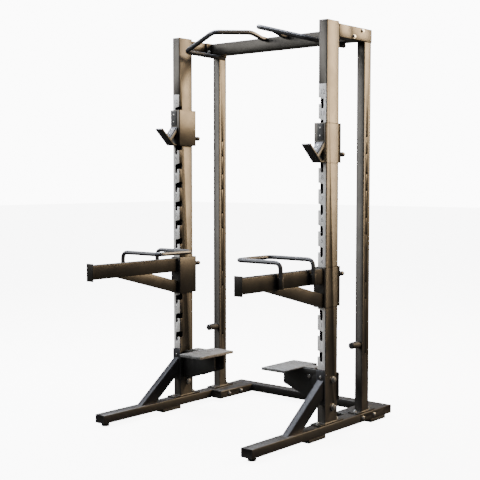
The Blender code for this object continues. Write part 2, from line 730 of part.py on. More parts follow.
def carrier(name, sign, bottom, height, lugs, pin_height):
    """A bracket folded round three faces of a post, with lugs that enter its slots."""
    inner = POST_INNER - GAP - LINER_THICK - GAP - CARRIER_THICK
    outer = POST_OUTER + CARRIER_OUTER_LIP
    t = CARRIER_THICK
    outline = [(inner, CARRIER_FRONT), (outer, CARRIER_FRONT), (outer, CARRIER_FRONT + t),
               (inner + t, CARRIER_FRONT + t), (inner + t, CARRIER_REAR - t),
               (outer, CARRIER_REAR - t), (outer, CARRIER_REAR), (inner, CARRIER_REAR)]
    plan = rounded([(sign * a, b) for a, b in outline], CARRIER_FOLD, 1)
    body = plate(f"{name}_carrier", [plan], "XY", bottom, bottom + height, PAINT)
    x = sign * HALF_SPAN
    neck = CARRIER_FRONT + t / 2
    behind = POST_WALL + GAP
    for k, lug in enumerate(lugs):
        z = bottom + lug
        profile = [(0, 0), (LUG_RADIUS, 0), (LUG_RADIUS, behind - neck),
                   (LUG_HEAD_RADIUS, behind - neck),
                   (LUG_HEAD_RADIUS, behind - neck + LUG_HEAD_THICK),
                   (0, behind - neck + LUG_HEAD_THICK)]
        pin = turned(f"{name}_lug_{k}", profile, (x, neck, z), (0, 1, 0), PAINT, steps=16)
        boolean(body, pin, "UNION")
    boss_start = CARRIER_REAR - t / 2
    boss = plate(f"{name}_boss", [ring(x, bottom + pin_height, BOSS_RADIUS)], "XZ",
                 boss_start, CARRIER_REAR + BOSS_REACH, PAINT)
    boolean(body, boss, "UNION")
    drill([f"{name}_carrier"], (x, CARRIER_REAR - t - CUT_PAST, bottom + pin_height),
          (x, CARRIER_REAR + BOSS_REACH + CUT_PAST, bottom + pin_height), PIN_RADIUS + GAP)
    return body


def liner(name, sign, bottom, height, lugs, pin_height):
    """A plastic channel between a carrier and the three faces of the post it slides on."""
    x = sign * HALF_SPAN
    front, rear = CARRIER_FRONT + CARRIER_THICK + GAP, POST_DEPTH + GAP
    side = POST_INNER - GAP
    back, wall, chamfer = rear + LINER_THICK, side - LINER_THICK, CARRIER_FOLD + GAP
    plan = [(wall + chamfer, front), (POST_OUTER, front), (POST_OUTER, front + LINER_THICK),
            (side, front + LINER_THICK), (side, rear), (POST_OUTER, rear), (POST_OUTER, back),
            (wall + chamfer, back), (wall, back - chamfer), (wall, front + chamfer)]
    lining = plate(f"{name}_liner", [[(sign * a, b) for a, b in plan]], "XY",
                   bottom + LINER_MARGIN, bottom + height - LINER_MARGIN, PLASTIC)
    for lug in lugs:
        drill([lining.name], (x, front - 0.004, bottom + lug),
              (x, front + LINER_THICK + 0.004, bottom + lug), LUG_RADIUS + GAP)
    drill([lining.name], (x, rear - 0.002, bottom + pin_height),
          (x, rear + LINER_THICK + 0.002, bottom + pin_height), PIN_RADIUS + GAP)
    return lining


def pull_pin(name, x, tip_y, knob_y, z, radius, knob_radius):
    """A sprung pin with a knob, pointing at the post."""
    start = knob_y - tip_y
    profile = [(0, 0), (radius, 0), (radius, start - 0.003), (knob_radius, start),
               (knob_radius, start + KNOB_LENGTH - 0.006),
               (knob_radius - 0.004, start + KNOB_LENGTH), (0, start + KNOB_LENGTH)]
    return turned(name, profile, (x, tip_y, z), (0, 1, 0), PLASTIC)


# Bar hooks

def hook_shape():
    """The cradle's outline and the hole in it, as (ahead of the carrier, above its bottom)."""
    tip_v, tip_z = HOOK_TIP
    run, rise = tip_v - HOOK_KNEE, tip_z
    length = math.hypot(run, rise)
    slope = rise / run
    nose = (tip_v - HOOK_PLATE * rise / length, tip_z + HOOK_PLATE * run / length)
    seat_slope = HOOK_SEAT_SLOPE
    arm_zero = nose[1] - slope * nose[0]
    valley = (HOOK_SEAT_TOP - arm_zero) / (slope + seat_slope)
    under = HOOK_SEAT_TOP - HOOK_SEAT_THICK * math.hypot(1, seat_slope)
    corner = (under - arm_zero) / (slope + seat_slope)
    outer = [(GAP, 0), (HOOK_KNEE, 0), (tip_v, tip_z), nose,
             (valley, arm_zero + slope * valley), (GAP, HOOK_SEAT_TOP - seat_slope * GAP)]
    floor = HOOK_PLATE
    hole = [(HOOK_BACK, floor), ((floor - arm_zero) / slope, floor),
            (corner, arm_zero + slope * corner), (HOOK_BACK, under - seat_slope * HOOK_BACK)]
    return outer, hole, seat_slope, valley


def bar_hook(side, sign):
    name = f"bar_hook_{side}"
    slot = HOOK_SLOTS[side]
    bottom = SLOT_FIRST_TOP - slot * SLOT_PITCH - SLOT_LENGTH + SLOT_WIDTH / 2 - HOOK_LUG
    x = sign * HALF_SPAN
    body = carrier(name, sign, bottom, HOOK_HEIGHT, [HOOK_LUG], HOOK_PIN)
    lining = liner(name, sign, bottom, HOOK_HEIGHT, [HOOK_LUG], HOOK_PIN)
    outer, hole, seat_slope, valley = hook_shape()

    def place(points):
        return [(CARRIER_FRONT - v, bottom + z) for v, z in points]

    half = HOOK_WIDTH / 2
    cradle = plate(f"{name}_cradle", [place(outer), place(hole)], "YZ", x - half, x + half, PAINT)
    normal = Vector((seat_slope, 1)).normalized()
    start = Vector((0.004, HOOK_SEAT_TOP - seat_slope * 0.004)) + normal * GAP
    end_v = valley - PAD_MARGIN
    end = Vector((end_v, HOOK_SEAT_TOP - seat_slope * end_v)) + normal * GAP
    seat = [start, end, end + normal * WEAR_PAD, start + normal * WEAR_PAD]
    pad_half = half - PAD_MARGIN
    face_pad = boxes(f"{name}_face_pad",
                     [((x - FACE_PAD_HALF, CARRIER_FRONT - GAP - WEAR_PAD, bottom + HOOK_SEAT_TOP + 0.009),
                       (x + FACE_PAD_HALF, CARRIER_FRONT - GAP,
                        bottom + HOOK_HEIGHT - PAD_MARGIN))],
                     RUBBER, bevel=0.001)
    seat_pad = plate(f"{name}_seat_pad", [place(seat)], "YZ", x - pad_half, x + pad_half, RUBBER)
    z = bottom + HOOK_PIN
    pin = pull_pin(f"{name}_pin", x, POST_DEPTH + GAP, KNOB_START, z, PIN_RADIUS, KNOB_RADIUS)
    slide = joint_empty(f"{name}_slide", (x, 0, bottom), [body, lining, cradle, face_pad, seat_pad])
    pull = joint_empty(f"{name}_pull", (x, POST_DEPTH, z), [pin])
    pull.parent = slide
    pull.matrix_parent_inverse = slide.matrix_world.inverted()


# Spotter arms

def spotter(side, sign):
    name = f"spotter_{side}"
    x = sign * HALF_SPAN
    bottom = SPOTTER_BOTTOM
    lugs = [SPOTTER_LUG, SPOTTER_LUG + SLOT_PITCH]
    body = carrier(name, sign, bottom, SPOTTER_HEIGHT, lugs, SPOTTER_PIN)
    lining = liner(name, sign, bottom, SPOTTER_HEIGHT, lugs, SPOTTER_PIN)
    half = SPOTTER_ARM_WIDTH / 2
    arm_low = bottom + SPOTTER_ARM_BOTTOM
    arm_high = arm_low + SPOTTER_ARM_HEIGHT
    arm_end = -SPOTTER_REACH + SPOTTER_END_THICK / 2
    arm = tube(f"{name}_arm", "XZ", (x - half, arm_low, x + half, arm_high), ARM_WALL,
               arm_end, CARRIER_FRONT - GAP, PAINT)
    weld(arm, spotter_strut(name, x, bottom, arm_low))
    middle = (arm_low + arm_high) / 2
    plate_half = SPOTTER_END_HEIGHT / 2
    wide = half + SPOTTER_END_MARGIN
    weld(arm, boxes(f"{name}_end_plate",
                    [((x - wide, -SPOTTER_REACH, middle - plate_half),
                      (x + wide, -SPOTTER_REACH + SPOTTER_END_THICK, middle + plate_half))],
                    PAINT, bevel=0.002))
    z = bottom + SPOTTER_PIN
    pin = pull_pin(f"{name}_pin", x, POST_DEPTH + GAP, KNOB_START, z, PIN_RADIUS, KNOB_RADIUS)

    bore = DIP_RADIUS + GAP
    socket_radius = bore + SOCKET_WALL
    leg_x = sign * (HALF_SPAN + half - WELD_LAP + socket_radius)
    socket_low = arm_low + 0.004
    floor = socket_low + SOCKET_FLOOR
    rim = socket_low + SOCKET_HEIGHT
    for y in (-DIP_FRONT, -DIP_REAR):
        weld(arm, rods(f"{name}_socket", [((leg_x, y, socket_low), (leg_x, y, rim), socket_radius)],
                       PAINT, segments=20))
        drill([arm.name], (leg_x, y, floor), (leg_x, y, rim + 0.002), bore)

    grip_x = leg_x - sign * DIP_GRIP
    grip_z = arm_high + DIP_RISE
    foot = floor + GAP
    handle = bent_bar(f"dip_handle_{side}",
                      [(leg_x, -DIP_FRONT, foot), (leg_x, -DIP_FRONT, grip_z),
                       (grip_x, -DIP_FRONT, grip_z), (grip_x, -DIP_REAR, grip_z),
                       (leg_x, -DIP_REAR, grip_z), (leg_x, -DIP_REAR, foot)],
                      DIP_RADIUS, DIP_BEND, PAINT)
    slide = joint_empty(f"{name}_slide", (x, 0, bottom),
                        [body, lining, arm])
    pull = joint_empty(f"{name}_pull", (x, POST_DEPTH, z), [pin])
    lift = joint_empty(f"dip_handle_{side}_lift", (leg_x, -DIP_FRONT, rim), [handle])
    for child in (pull, lift):
        child.parent = slide
        child.matrix_parent_inverse = slide.matrix_world.inverted()


def spotter_strut(name, x, bottom, arm_low):
    """A sloping tube from the foot of the carrier to the underside of the arm."""
    half = SPOTTER_ARM_WIDTH / 2 - WELD_STEP
    near = Vector((CARRIER_FRONT, bottom + 0.002))
    far = Vector((-STRUT_START, arm_low))
    along = (far - near).normalized()
    across = Vector((along.y, -along.x)) * STRUT_DEPTH
    if across.y < 0:
        across = -across
    extra = along * 0.08

    def outline(inset, reach):
        step = across.normalized() * inset
        stretch = extra + along * reach
        return [near - stretch + step, far + stretch + step,
                far + stretch + across - step, near - stretch + across - step]

    strut = plate(f"{name}_strut", [outline(0, 0)], "YZ", x - half, x + half, PAINT)
    core = plate(f"{name}_strut_core", [outline(ARM_WALL, CUT_PAST)], "YZ",
                 x - half + ARM_WALL, x + half - ARM_WALL, PAINT)
    boolean(strut, core)
    trim = boxes(f"{name}_strut_trim",
                 [((x - BEYOND, -BEYOND, arm_low + WELD_LAP), (x + BEYOND, BEYOND, BEYOND))], PAINT)
    boolean(strut, trim)
    boolean(strut, boxes(f"{name}_strut_back",
                         [((x - BEYOND, CARRIER_FRONT - GAP, -BEYOND),
                           (x + BEYOND, BEYOND, BEYOND))], PAINT))
    return strut


# Folding steps

def step_bracket(side, sign):
    """A channel bolted to a post's inner face, with a tail behind the post."""
    inner_end = HALF_SPAN - STEP_INNER + BRACKET_NOSE
    tail = POST_OUTER + BRACKET_TAIL
    top = STEP_TOP - TREAD_THICK - GAP
    web_out = POST_INNER - GAP
    web_in = web_out - BRACKET_THICK
    rear = POST_DEPTH + GAP
    rear_end = rear + BRACKET_THICK
    bottom = BRACKET_BOTTOM
    shape = [(inner_end, top), (inner_end, bottom + 0.068), (inner_end + 0.064, bottom + 0.045),
             (web_in - 0.076, bottom + 0.008), (web_in, bottom), (tail, bottom),
             (tail, BRACKET_TAIL_TOP), (web_out, BRACKET_TAIL_TOP), (web_in - 0.004, top)]
    bracket = plate(f"step_bracket_{side}", [rounded([(sign * a, b) for a, b in shape], 0.006, 2)],
                    "XZ", BRACKET_FRONT, rear_end, PAINT)
    hollow = [((sign * (inner_end - 0.05), BRACKET_FRONT + BRACKET_THICK, 0),
               (sign * web_in, rear, 0.6)),
              ((sign * web_out, -0.05, 0), (sign * (tail + 0.05), rear, 0.6))]
    boolean(bracket, boxes(f"step_bracket_{side}_hollow", hollow, PAINT))
    return bracket


def step_platform(side, sign):
    """The tread with its turned-down lips, its neck and the ears that hang on the pivot."""
    inner = HALF_SPAN - STEP_INNER
    outer = HALF_SPAN - STEP_OUTER
    under = STEP_TOP - TREAD_THICK
    tread = boxes(f"step_platform_{side}", [((sign * inner, -STEP_FRONT, STEP_TOP - TREAD_LIP),
                                            (sign * outer, STEP_REAR, STEP_TOP))], TREAD)
    hollow = boxes(f"step_{side}_hollow",
                   [((sign * (inner + LIP_THICK), -STEP_FRONT + LIP_THICK, STEP_TOP - 0.05),
                     (sign * (outer + 0.02), STEP_REAR - LIP_THICK, under))], TREAD)
    boolean(tread, hollow)
    ear_low = BRACKET_FRONT + BRACKET_THICK + EAR_MARGIN
    ear_high = POST_DEPTH + GAP - EAR_MARGIN
    pivot_x = POST_INNER - PIVOT_INSET
    neck = boxes(f"step_{side}_neck",
                 [((sign * (outer - 0.010), ear_low, under + 0.0005),
                   (sign * (pivot_x + NECK_REACH), ear_high, STEP_TOP - 0.0005))], TREAD)
    boolean(tread, neck, "UNION")
    lock_x = POST_INNER - LOCK_INSET
    for k, (low, lobe) in enumerate(((ear_low, False), (ear_high - EAR_THICK, True))):
        shape = [(pivot_x - TREAD_BEARING, under + 0.001), (pivot_x - TREAD_BEARING, under - 0.012),
                 (pivot_x - EAR_RADIUS, PIVOT_HEIGHT - 0.016),
                 (pivot_x, PIVOT_HEIGHT - EAR_RADIUS), (pivot_x + EAR_RADIUS, PIVOT_HEIGHT - 0.006),
                 (pivot_x + 0.026, under + 0.001)]
        if lobe:
            shape[2:5] = [(pivot_x - EAR_RADIUS, PIVOT_HEIGHT - 0.016),
                          (lock_x - 0.016, LOCK_HEIGHT - 0.010),
                          (lock_x + 0.016, LOCK_HEIGHT - 0.010),
                          (lock_x + 0.004, PIVOT_HEIGHT - 0.010)]
        ear = plate(f"step_{side}_ear_{k}", [[(sign * a, b) for a, b in shape]], "XZ",
                    low + 0.0005 * (1 - k), low + EAR_THICK - 0.0005 * k, TREAD)
        boolean(tread, ear, "UNION")
    return tread


def folding_step(side, sign):
    bracket = step_bracket(side, sign)
    platform = step_platform(side, sign)
    x = sign * (POST_INNER - PIVOT_INSET)
    lock_x = sign * (POST_INNER - LOCK_INSET)
    rear = POST_DEPTH + GAP
    rear_end = rear + BRACKET_THICK
    pivot_run = ((x, BRACKET_FRONT - 0.01, PIVOT_HEIGHT), (x, rear_end + 0.01, PIVOT_HEIGHT))
    drill([bracket.name, platform.name], *pivot_run, PIVOT_RADIUS + GAP)
    drill([bracket.name], (lock_x, rear - 0.003, LOCK_HEIGHT),
          (lock_x, rear_end + 0.003, LOCK_HEIGHT), PIN_RADIUS + GAP)
    head = 0.006
    span = rear_end - BRACKET_FRONT
    profile = [(0, 0), (0.010, 0), (0.010, head), (PIVOT_RADIUS, head),
               (PIVOT_RADIUS, head + span + 2 * GAP), (0.009, head + span + 2 * GAP),
               (0.009, 2 * head + span), (0, 2 * head + span)]
    turned(f"step_pivot_{side}", profile, (x, BRACKET_FRONT - head - GAP, PIVOT_HEIGHT),
           (0, 1, 0), ZINC, steps=16)
    ear_back = rear - EAR_MARGIN
    pin = pull_pin(f"step_pin_{side}", lock_x, ear_back + GAP, rear_end + PIN_TRAVEL + 0.006,
                   LOCK_HEIGHT, PIN_RADIUS, STEP_KNOB_RADIUS)
    joint_empty(f"step_{side}_hinge", (x, BRACKET_FRONT, PIVOT_HEIGHT), [platform])
    joint_empty(f"step_{side}_pull", (lock_x, rear_end, LOCK_HEIGHT), [pin])


# Through bolts

def through_bolts(side, sign):
    """Hex bolts with washers, right through a front post and the step bracket's web."""
    rows = (("upper", UPPER_BOLT, BRACKET_THICK + GAP), ("lower", LOWER_BOLT, 0))
    washer, head = BOLT_WASHER_THICK, BOLT_HEAD_THICK
    for row, z, extra in rows:
        name = f"{row}_bolt_{side}"
        grip = POST_WIDTH + extra + 2 * GAP
        washer_radius, shank = BOLT_WASHER_RADIUS, BOLT_RADIUS
        profile = [(0, 0), (washer_radius, 0), (washer_radius, washer), (shank, washer),
                   (shank, washer + grip), (washer_radius, washer + grip),
                   (washer_radius, 2 * washer + grip), (0, 2 * washer + grip)]
        start = POST_OUTER + GAP + washer
        bolt = turned(name, profile, (sign * start, BOLT_SETBACK, z), (-sign, 0, 0), ZINC, steps=16)
        far = start - 2 * washer - grip
        ends = ((start - WELD_LAP, start + head), (far + WELD_LAP, far - head / 2))
        for k, (a, b) in enumerate(ends):
            weld(bolt, hexagon(f"{name}_hex_{k}", (sign * a, BOLT_SETBACK, z),
                               (sign * b, BOLT_SETBACK, z)))
        drilled = [f"front_post_{side}", f"step_bracket_{side}"]
        drill(drilled if extra else drilled[:1], (sign * (start + 0.001), BOLT_SETBACK, z),
              (sign * (far - 0.001), BOLT_SETBACK, z), shank + GAP)


def hexagon(name, start, end):
    bm = bmesh.new()
    add_rod(bm, start, end, BOLT_HEX_RADIUS, segments=6)
    return from_bmesh(name, bm, ZINC)


base_rails()
rear_base()
feet()
braces()
front_posts()
rear_posts()
band_pegs()
top_arms()
crossbeam()
pull_up_handles()
for rack_side, rack_sign in SIDES.items():
    bar_hook(rack_side, rack_sign)
    spotter(rack_side, rack_sign)
    folding_step(rack_side, rack_sign)
    through_bolts(rack_side, rack_sign)
cut_drillings()
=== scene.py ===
import json
import math

import bmesh
import bpy
from mathutils import Matrix, Vector

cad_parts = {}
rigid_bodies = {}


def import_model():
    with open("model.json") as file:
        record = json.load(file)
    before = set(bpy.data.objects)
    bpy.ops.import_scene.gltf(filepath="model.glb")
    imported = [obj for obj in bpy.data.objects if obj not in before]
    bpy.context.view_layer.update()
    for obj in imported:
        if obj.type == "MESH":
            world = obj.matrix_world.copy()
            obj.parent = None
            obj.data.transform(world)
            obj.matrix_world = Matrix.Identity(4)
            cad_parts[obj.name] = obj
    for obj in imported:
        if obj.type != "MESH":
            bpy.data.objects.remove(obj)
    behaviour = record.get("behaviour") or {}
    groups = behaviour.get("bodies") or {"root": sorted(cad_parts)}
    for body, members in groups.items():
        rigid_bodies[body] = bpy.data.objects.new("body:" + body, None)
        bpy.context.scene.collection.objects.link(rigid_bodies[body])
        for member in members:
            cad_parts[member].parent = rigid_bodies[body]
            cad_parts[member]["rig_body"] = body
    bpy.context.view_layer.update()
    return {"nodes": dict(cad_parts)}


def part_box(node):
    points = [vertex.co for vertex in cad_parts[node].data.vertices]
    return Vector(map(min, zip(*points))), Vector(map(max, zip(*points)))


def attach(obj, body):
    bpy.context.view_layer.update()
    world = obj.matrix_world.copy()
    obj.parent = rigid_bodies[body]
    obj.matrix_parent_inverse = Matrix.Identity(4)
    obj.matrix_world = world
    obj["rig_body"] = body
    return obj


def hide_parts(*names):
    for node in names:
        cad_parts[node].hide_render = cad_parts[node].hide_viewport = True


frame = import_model()

# The part's own measures: depths behind the front posts' faces, heights above the rails.
FRONT_Y = 0.019
RAIL_TOP = 0.070
HALF_SPAN = 0.546
HALF_POST = 0.0285       # across the rack
HALF_REAR_POST = 0.026
SIDES = {"left": -1, "right": 1}


def at(x, y, z):
    return Vector((x, FRONT_Y + y, RAIL_TOP + z))


# Materials

class Nodes:
    """Short names for the few shader nodes the materials are made of."""

    def __init__(self, name):
        self.material = bpy.data.materials.new(name)
        self.material.use_nodes = True
        self.tree = self.material.node_tree
        self.shader = self.tree.nodes["Principled BSDF"]
        self.place = self.tree.nodes.new("ShaderNodeTexCoord").outputs["Object"]

    def link(self, source, target):
        self.tree.links.new(source, target)
        return source

    def noise(self, scale, detail=3.0, rough=0.55, stretch=None):
        node = self.tree.nodes.new("ShaderNodeTexNoise")
        node.inputs["Scale"].default_value = scale
        node.inputs["Detail"].default_value = detail
        node.inputs["Roughness"].default_value = rough
        self.link(self.stretched(stretch), node.inputs["Vector"])
        return node.outputs["Fac"]

    def cells(self, scale, feature="F1"):
        node = self.tree.nodes.new("ShaderNodeTexVoronoi")
        node.feature = feature
        node.inputs["Scale"].default_value = scale
        self.link(self.place, node.inputs["Vector"])
        return node.outputs["Distance"]

    def stretched(self, stretch):
        if stretch is None:
            return self.place
        node = self.tree.nodes.new("ShaderNodeMapping")
        node.inputs["Scale"].default_value = stretch
        self.link(self.place, node.inputs["Vector"])
        return node.outputs["Vector"]

    def edges(self):
        """High where the surface turns outwards, low in its hollows."""
        return self.tree.nodes.new("ShaderNodeNewGeometry").outputs["Pointiness"]

    def ramp(self, source, stops):
        node = self.tree.nodes.new("ShaderNodeValToRGB")
        ramp = node.color_ramp
        while len(ramp.elements) < len(stops):
            ramp.elements.new(0.5)
        for element, (position, value) in zip(ramp.elements, stops):
            element.position = position
            colour = value if isinstance(value, tuple) else (value, value, value)
            element.color = (*colour, 1.0)
        self.link(source, node.inputs["Fac"])
        return node.outputs["Color"]

    def mix(self, factor, first, second):
        node = self.tree.nodes.new("ShaderNodeMix")
        node.data_type = "RGBA"
        for socket, value in ((node.inputs[0], factor), (node.inputs[6], first),
                              (node.inputs[7], second)):
            if isinstance(value, bpy.types.NodeSocket):
                self.link(value, socket)
            elif isinstance(value, tuple):
                socket.default_value = (*value, 1.0)
            else:
                socket.default_value = value
        return node.outputs[2]

    def bump(self, source, height, strength=1.0, under=None):
        node = self.tree.nodes.new("ShaderNodeBump")
        node.inputs["Strength"].default_value = strength
        node.inputs["Distance"].default_value = height
        self.link(source, node.inputs["Height"])
        if under is not None:
            self.link(under, node.inputs["Normal"])
        return node.outputs["Normal"]

    def done(self, colour, roughness, normal, **plain):
        self.link(colour, self.shader.inputs["Base Color"])
        self.link(roughness, self.shader.inputs["Roughness"])
        self.link(normal, self.shader.inputs["Normal"])
        for name, value in plain.items():
            self.shader.inputs[name.replace("_", " ")].default_value = value
        return self.material


def powder_coat(name, dark, light, metallic, rough, wear):
    """Baked metallic powder: a fine flake, an orange-peel skin and slightly polished edges."""
    n = Nodes(name)
    cloud = n.ramp(n.noise(3.0, 4.0), [(0.35, dark), (0.65, light)])
    flake = n.ramp(n.noise(1400.0, 1.0), [(0.62, 0.0), (0.78, 0.35)])
    body = n.mix(flake, cloud, tuple(min(1.0, c * 2.2) for c in light))
    rim = n.ramp(n.edges(), [(0.515, 0.0), (0.60, 0.55)])
    colour = n.mix(rim, body, wear)
    smudge = n.ramp(n.noise(9.0, 5.0, 0.6), [(0.30, rough - 0.05), (0.70, rough + 0.06)])
    peel = n.bump(n.noise(260.0, 2.0), 0.00030, 0.35)
    grain = n.bump(n.noise(900.0, 1.0), 0.00012, 0.25, peel)
    return n.done(colour, smudge, grain, Metallic=metallic)


def plated(name, dark, light, rough):
    """Zinc plate: streaked, with a faint mottle."""
    n = Nodes(name)
    streak = n.noise(60.0, 3.0, 0.6, (1.0, 1.0, 5.0))
    colour = n.ramp(streak, [(0.30, dark), (0.70, light)])
    roughness = n.ramp(n.noise(220.0), [(0.3, rough - 0.07), (0.7, rough + 0.08)])
    return n.done(colour, roughness, n.bump(streak, 0.00015, 0.4), Metallic=1.0)


def moulded(name, dark, light, rough, grain, height, **plain):
    """Moulded rubber or plastic with a spark-eroded texture and a little dust."""
    n = Nodes(name)
    dust = n.noise(14.0, 5.0, 0.65)
    colour = n.ramp(dust, [(0.40, dark), (0.75, light)])
    roughness = n.ramp(n.noise(40.0), [(0.3, rough - 0.05), (0.7, rough + 0.06)])
    return n.done(colour, roughness, n.bump(n.noise(grain, 2.0), height, 0.6), **plain)


def speckled(name):
    """The treads' sprayed non-slip coat: pale, mottled and gritty."""
    n = Nodes(name)
    base = n.ramp(n.noise(26.0, 4.0, 0.7),
                  [(0.30, (0.130, 0.130, 0.128)), (0.72, (0.285, 0.285, 0.280))])
    grit = n.cells(330.0)
    spots = n.ramp(grit, [(0.16, 1.0), (0.30, 0.0)])
    fleck = n.ramp(n.noise(160.0, 2.0), [(0.52, 0.0), (0.60, 0.8)])
    colour = n.mix(fleck, n.mix(spots, base, (0.48, 0.48, 0.47)), (0.075, 0.075, 0.078))
    roughness = n.ramp(n.noise(50.0), [(0.3, 0.52), (0.7, 0.68)])
    rough_skin = n.bump(grit, 0.0006, 0.8)
    return n.done(colour, roughness, rough_skin, Metallic=0.25)


def printed(name, dark, light):
    """Printed film, faintly uneven."""
    n = Nodes(name)
    colour = n.ramp(n.noise(30.0, 4.0, 0.6), [(0.30, dark), (0.70, light)])
    roughness = n.ramp(n.noise(70.0), [(0.3, 0.42), (0.7, 0.55)])
    return n.done(colour, roughness, n.bump(n.noise(500.0), 0.00008, 0.4))


PAINT = powder_coat("bronze_paint", (0.053, 0.050, 0.046), (0.066, 0.062, 0.057), 0.85, 0.34,
                    (0.130, 0.123, 0.115))
BASE_PAINT = powder_coat("base_paint", (0.050, 0.048, 0.046), (0.065, 0.062, 0.059), 0.80, 0.44,
                         (0.120, 0.116, 0.110))
BRACE_PAINT = powder_coat("brace_paint", (0.043, 0.044, 0.049), (0.054, 0.055, 0.060), 0.80, 0.38,
                          (0.150, 0.153, 0.163))
HOOK_PAINT = powder_coat("hook_paint", (0.044, 0.044, 0.044), (0.056, 0.056, 0.055), 0.70, 0.42,
                         (0.155, 0.152, 0.145))
ZINC = plated("zinc_steel", (0.42, 0.42, 0.41), (0.62, 0.62, 0.60), 0.34)
RUBBER = moulded("black_rubber", (0.012, 0.012, 0.012), (0.030, 0.030, 0.031), 0.62, 420.0, 0.0003)
PLASTIC = moulded("black_plastic", (0.008, 0.008, 0.009), (0.018, 0.018, 0.019), 0.42, 700.0,
                  0.0002)
PAD = moulded("wear_pad", (0.040, 0.042, 0.044), (0.070, 0.072, 0.074), 0.50, 500.0, 0.0003)
SEAT = moulded("seat_pad", (0.060, 0.062, 0.074), (0.090, 0.093, 0.108), 0.45, 500.0, 0.0003)
TREAD = speckled("tread_coat")
FILM = printed("number_strip", (0.88, 0.87, 0.84), (0.95, 0.94, 0.92))
INK = printed("number_ink", (0.36, 0.36, 0.36), (0.46, 0.46, 0.46))


# Pieces

def piece(name, bm, material, body, smooth=38):
    """A finished piece that rides on a body."""
    bmesh.ops.recalc_face_normals(bm, faces=bm.faces)
    mesh = bpy.data.meshes.new(name)
    bm.to_mesh(mesh)
    bm.free()
    mesh.materials.append(material)
    mesh.shade_smooth()
    mesh.set_sharp_from_angle(angle=math.radians(smooth))
    made = bpy.data.objects.new(name, mesh)
    bpy.context.scene.collection.objects.link(made)
    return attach(made, body)


def skin(node, material, width, body=None):
    """A CAD node with its sharp edges eased, standing for the node."""
    source = frame["nodes"][node]
    bm = bmesh.new()
    bm.from_mesh(source.data)
    bmesh.ops.remove_doubles(bm, verts=bm.verts, dist=0.00002)
    bmesh.ops.dissolve_limit(bm, angle_limit=math.radians(1.5), verts=bm.verts, edges=bm.edges)
    sharp = [e for e in bm.edges if e.is_manifold and e.calc_face_angle(0) > math.radians(42)
             and e.calc_length() > width * 3]
    bmesh.ops.bevel(bm, geom=sharp, offset=width, segments=2, profile=0.5, affect="EDGES",
                    clamp_overlap=False)
    made = piece(node + "_skin", bm, material, body or source["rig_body"])
    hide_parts(node)
    return made


def paint_node(node, material):
    """A CAD node shown as it is, in its own material."""
    source = frame["nodes"][node]
    source.data.materials.clear()
    source.data.materials.append(material)


def frame_along(place, direction):
    turn = Vector(direction).to_track_quat("Z", "Y").to_matrix().to_4x4()
    return Matrix.Translation(place) @ turn


def lathe(bm, profile, placement, steps=20, flutes=0, depth=0.0):
    """A turned solid. With flutes, its widest rings are scalloped."""
    widest = max(r for r, _ in profile)
    rings = []
    for radius, height in profile:
        if radius == 0:
            rings.append([bm.verts.new(placement @ Vector((0, 0, height)))])
            continue
        loop = []
        for k in range(steps):
            angle = 2 * math.pi * k / steps
            r = radius
            if flutes and radius > 0.8 * widest:
                r -= depth * (0.5 - 0.5 * math.cos(flutes * angle))
            point = Vector((r * math.cos(angle), r * math.sin(angle), height))
            loop.append(bm.verts.new(placement @ point))
        rings.append(loop)
    for low, high in zip(rings, rings[1:]):
        for k in range(steps):
            a, b = k, (k + 1) % steps
            if len(low) == 1:
                bm.faces.new((low[0], high[a], high[b]))
            elif len(high) == 1:
                bm.faces.new((low[a], low[b], high[0]))
            else:
                bm.faces.new((low[a], low[b], high[b], high[a]))


def hex_head(bm, placement, across, height, start=0.0):
    """A hexagon with its outer corners turned off."""
    radius = across / 2 / math.cos(math.pi / 6)
    rings = []
    for r, z in ((radius, start), (radius, start + height * 0.82),
                 (across / 2 * 0.96, start + height)):
        rings.append([bm.verts.new(placement @ Vector((r * math.cos(math.pi * k / 3),
                                                       r * math.sin(math.pi * k / 3), z)))
                      for k in range(6)])
    for low, high in zip(rings, rings[1:]):
        for k in range(6):
            bm.faces.new((low[k], low[(k + 1) % 6], high[(k + 1) % 6], high[k]))
    bm.faces.new(rings[-1])
    bm.faces.new(tuple(reversed(rings[0])))


def bolt(bm, place, direction, across, height, washer, stub=0.0):
    """A hex head on its washer; a nut shows the end of its thread as well."""
    placement = frame_along(place, direction)
    thick = across * 0.11
    lathe(bm, [(0, 0), (washer, 0), (washer, thick * 0.8), (washer - thick * 0.2, thick),
               (0, thick)], placement, 20)
    hex_head(bm, placement, across, height, thick)
    if stub:
        radius = across * 0.29
        top = thick + height + stub
        lathe(bm, [(0, thick), (radius, thick), (radius, top - radius * 0.3), (radius * 0.7, top),
                   (0, top)], placement, 14)


def button_head(bm, place, direction, radius):
    """A low domed screw with a socket in it."""
    h = radius * 0.55
    lathe(bm, [(0, 0), (radius, 0), (radius, h * 0.35), (radius * 0.85, h * 0.8), (radius * 0.5, h),
               (radius * 0.42, h), (radius * 0.42, h * 0.45), (0, h * 0.45)],
          frame_along(place, direction), 16)


